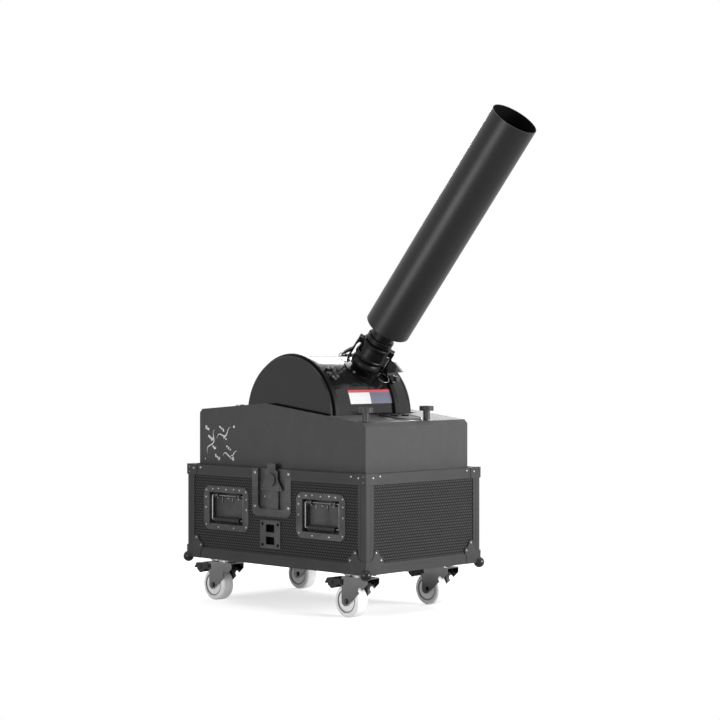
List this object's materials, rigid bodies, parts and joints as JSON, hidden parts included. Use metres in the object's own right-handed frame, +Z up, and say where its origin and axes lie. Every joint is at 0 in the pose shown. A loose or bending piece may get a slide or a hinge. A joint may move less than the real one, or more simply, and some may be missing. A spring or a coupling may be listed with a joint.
{
  "type": "confetti blower",
  "caption": "Tilting fan drum with a long barrel on a cam-lever coupler, under a sheet hood in a wheeled road case.",
  "frame": {"origin": "centre of the outer box, on the floor", "axes": "+X along the case's long side, towards the barrel's mouth; +Z up; +Y away from the front with the latch"},
  "size_m": [1.2227, 0.5498, 1.5233],
  "materials": {
    "board_laminate": "embossed satin laminate",
    "edge_rail": "satin dark anodised",
    "corner_steel": "dark plated, semi-gloss",
    "rivet_steel": "bright heads",
    "zinc_plate": "zinc plated",
    "chrome": "polished plate",
    "tyre_white": "satin white, scuffed",
    "pedal_black": "black, satin",
    "dish_steel": "dark plated, semi-gloss",
    "bright_rod": "bright",
    "grip_rubber": "ribbed, matte",
    "socket_black": "satin",
    "hood_enamel": "fine-textured dark grey",
    "drum_enamel": "semi-gloss dark grey",
    "band_black": "satin black",
    "barrel_enamel": "semi-gloss black",
    "knob_grey": "semi-gloss",
    "fan_alloy": "mill finish"
  },
  "bodies": {
    "case": {"base_board": "board_laminate", "front_board": "board_laminate", "back_board": "board_laminate", "end_boards": "board_laminate", "bottom_rails": "edge_rail", "rim_rails": "edge_rail", "corner_posts": "edge_rail", "corner_braces": "corner_steel", "ball_corners": "corner_steel", "fasteners": "rivet_steel", "caster_mounts": "zinc_plate", "left_dish": "dish_steel", "right_dish": "dish_steel", "handle_springs": "bright_rod", "latch_dish": "dish_steel", "socket_plate": "dish_steel", "power_sockets": "socket_black", "control_box": "zinc_plate", "hood_shell": "hood_enamel", "hood_walls": "hood_enamel", "tilt_bearings": "zinc_plate", "filler_flange": "zinc_plate", "hopper": "zinc_plate"},
    "drum": {"drum_shell": "drum_enamel", "drum_front": "drum_enamel", "drum_back": "drum_enamel", "drum_bands": "band_black", "fan_motor": "zinc_plate", "coupler_base": "band_black", "coupler_body": "band_black", "barrel_neck": "band_black", "barrel": "barrel_enamel"},
    "fan": {"fan_wheel": "fan_alloy"},
    "band_screw": {"band_knob": "knob_grey"},
    "cam_upper": {"cam_lever_upper": "band_black"},
    "ring_upper": {"pull_ring_upper": "bright_rod"},
    "cam_lower": {"cam_lever_lower": "band_black"},
    "ring_lower": {"pull_ring_lower": "bright_rod"},
    "left_handle": {"left_bail": "bright_rod", "left_grip": "grip_rubber"},
    "right_handle": {"right_bail": "bright_rod", "right_grip": "grip_rubber"},
    "latch_hook": {"latch_hook": "dish_steel"},
    "latch_wing": {"latch_wing": "dish_steel"},
    "front_screw": {"front_hand_screw": "knob_grey"},
    "back_screw": {"back_hand_screw": "knob_grey"},
    "cap": {"filler_cap": "socket_black"},
    "caster_front_left": {"fork_front_left": "chrome"},
    "wheel_front_left": {"wheel_front_left": "tyre_white"},
    "brake_front_left": {"brake_front_left": "pedal_black"},
    "caster_front_right": {"fork_front_right": "chrome"},
    "wheel_front_right": {"wheel_front_right": "tyre_white"},
    "brake_front_right": {"brake_front_right": "pedal_black"},
    "caster_back_left": {"fork_back_left": "chrome"},
    "wheel_back_left": {"wheel_back_left": "tyre_white"},
    "brake_back_left": {"brake_back_left": "pedal_black"},
    "caster_back_right": {"fork_back_right": "chrome"},
    "wheel_back_right": {"wheel_back_right": "tyre_white"},
    "brake_back_right": {"brake_back_right": "pedal_black"}
  },
  "joints": [
    {"name": "drum_tilt", "type": "hinge", "parent": "case", "child": "drum", "pos_m": [-0.18242, 0, 0.597], "axis": [0, -1, 0], "range_deg": [-25, 40]},
    {"name": "fan_spin", "type": "hinge", "parent": "drum", "child": "fan", "pos_m": [-0.18242, 0, 0.597], "axis": [0, 1, 0], "continuous": true},
    {"name": "band_screw_turn", "type": "hinge", "parent": "drum", "child": "band_screw", "pos_m": [-0.01042, 0.088, 0.712], "axis": [1, 0, 0], "continuous": true},
    {"name": "cam_upper_open", "type": "hinge", "parent": "drum", "child": "cam_upper", "pos_m": [-0.02956, -0.03615, 0.83947], "axis": [-0.5224, 0.7314, 0.4384], "range_deg": [0, 110]},
    {"name": "ring_upper_swing", "type": "hinge", "parent": "cam_upper", "child": "ring_upper", "pos_m": [-0.08178, -0.04024, 0.78407], "axis": [-0.5602, -0.682, 0.4701], "range_deg": [0, 15]},
    {"name": "cam_lower_open", "type": "hinge", "parent": "drum", "child": "cam_lower", "pos_m": [0.02982, 0.03615, 0.78964], "axis": [0.5224, -0.7314, -0.4384], "range_deg": [0, 110]},
    {"name": "ring_lower_swing", "type": "hinge", "parent": "cam_lower", "child": "ring_lower", "pos_m": [-0.01567, 0.04024, 0.7286], "axis": [-0.5602, -0.682, 0.4701], "range_deg": [0, 15]},
    {"name": "left_handle_lift", "type": "hinge", "parent": "case", "child": "left_handle", "pos_m": [-0.41192, -0.251, 0.339], "axis": [1, 0, 0], "range_deg": [-90, 0], "stiffness_Nm_per_rad": 0.5},
    {"name": "right_handle_lift", "type": "hinge", "parent": "case", "child": "right_handle", "pos_m": [0.01308, -0.251, 0.339], "axis": [1, 0, 0], "range_deg": [-90, 0], "stiffness_Nm_per_rad": 0.5},
    {"name": "hook_draw", "type": "slide", "parent": "case", "child": "latch_hook", "axis": [0, 0, 1], "range_m": [-0.008, 0]},
    {"name": "wing_turn", "type": "hinge", "parent": "case", "child": "latch_wing", "pos_m": [-0.20242, -0.26, 0.401], "axis": [0, -1, 0], "range_deg": [0, 180]},
    {"name": "front_screw_turn", "type": "hinge", "parent": "case", "child": "front_screw", "pos_m": [0.14958, -0.204, 0.6], "axis": [0, 0, 1], "continuous": true},
    {"name": "back_screw_turn", "type": "hinge", "parent": "case", "child": "back_screw", "pos_m": [0.14958, 0.068, 0.6], "axis": [0, 0, 1], "continuous": true},
    {"name": "cap_twist", "type": "hinge", "parent": "case", "child": "cap", "pos_m": [0.08758, 0.012, 0.59373], "axis": [0.1206, 0, 0.9927], "range_deg": [0, 60]},
    {"name": "swivel_front_left", "type": "hinge", "parent": "case", "child": "caster_front_left", "pos_m": [-0.45642, -0.217, 0.12], "axis": [0, 0, 1], "continuous": true},
    {"name": "roll_front_left", "type": "hinge", "parent": "caster_front_left", "child": "wheel_front_left", "pos_m": [-0.49442, -0.217, 0.05], "axis": [0, 1, 0], "continuous": true},
    {"name": "press_front_left", "type": "hinge", "parent": "caster_front_left", "child": "brake_front_left", "pos_m": [-0.51542, -0.217, 0.107], "axis": [0, -1, 0], "range_deg": [0, 12]},
    {"name": "swivel_front_right", "type": "hinge", "parent": "case", "child": "caster_front_right", "pos_m": [0.14058, -0.217, 0.12], "axis": [0, 0, 1], "continuous": true},
    {"name": "roll_front_right", "type": "hinge", "parent": "caster_front_right", "child": "wheel_front_right", "pos_m": [0.10258, -0.217, 0.05], "axis": [0, 1, 0], "continuous": true},
    {"name": "press_front_right", "type": "hinge", "parent": "caster_front_right", "child": "brake_front_right", "pos_m": [0.08158, -0.217, 0.107], "axis": [0, -1, 0], "range_deg": [0, 12]},
    {"name": "swivel_back_left", "type": "hinge", "parent": "case", "child": "caster_back_left", "pos_m": [-0.46342, 0.168, 0.12], "axis": [0, 0, 1], "continuous": true},
    {"name": "roll_back_left", "type": "hinge", "parent": "caster_back_left", "child": "wheel_back_left", "pos_m": [-0.50142, 0.168, 0.05], "axis": [0, 1, 0], "continuous": true},
    {"name": "press_back_left", "type": "hinge", "parent": "caster_back_left", "child": "brake_back_left", "pos_m": [-0.52242, 0.168, 0.107], "axis": [0, -1, 0], "range_deg": [0, 12]},
    {"name": "swivel_back_right", "type": "hinge", "parent": "case", "child": "caster_back_right", "pos_m": [0.11858, 0.168, 0.12], "axis": [0, 0, 1], "continuous": true},
    {"name": "roll_back_right", "type": "hinge", "parent": "caster_back_right", "child": "wheel_back_right", "pos_m": [0.08058, 0.168, 0.05], "axis": [0, 1, 0], "continuous": true},
    {"name": "press_back_right", "type": "hinge", "parent": "caster_back_right", "child": "brake_back_right", "pos_m": [0.05958, 0.168, 0.107], "axis": [0, -1, 0], "range_deg": [0, 12]}
  ],
  "couplings": [
    {"joint": "wing_turn", "follows": "hook_draw", "rad_per_m": -392.7}
  ]
}
